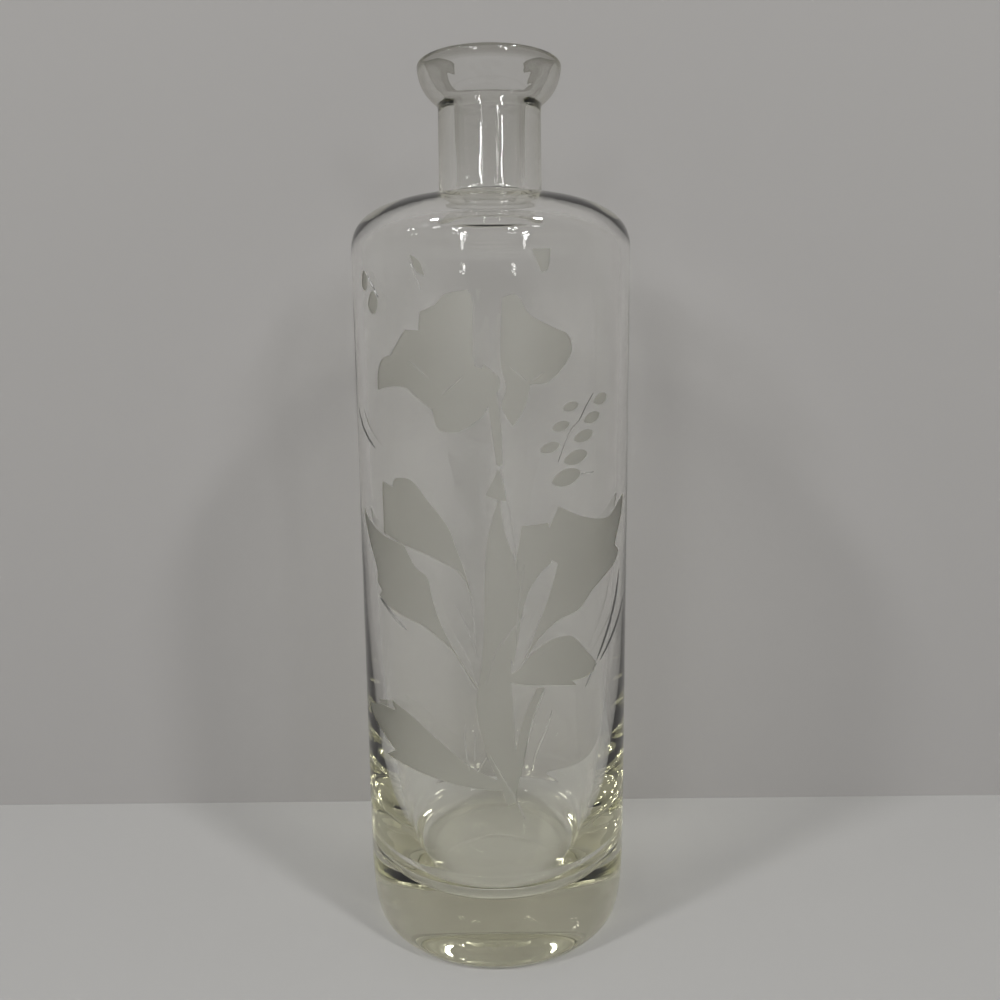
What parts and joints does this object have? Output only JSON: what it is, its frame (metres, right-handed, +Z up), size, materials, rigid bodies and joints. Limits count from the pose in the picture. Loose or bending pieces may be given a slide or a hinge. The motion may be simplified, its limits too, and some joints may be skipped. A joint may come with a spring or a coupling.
{
  "type": "glass decanter",
  "caption": "Tall straight-sided glass decanter with a thick foot, a low domed shoulder, a short neck and a flared open mouth; holds and pours a drink.",
  "frame": {"origin": "centre of the foot, in the plane that the decanter stands on", "axes": "+Z up along the body's axis from the foot to the mouth; -Y faces the viewer of the picture, the side with the cut spray; +X is to that viewer's right"},
  "size_m": [0.08, 0.08, 0.254],
  "materials": {
    "vessel_glass": "clear old glass with a faint olive cast, glossy, with a wheel-cut matt spray on the front"
  },
  "bodies": {
    "root": {"glass_vessel": "vessel_glass"}
  },
  "joints": []
}
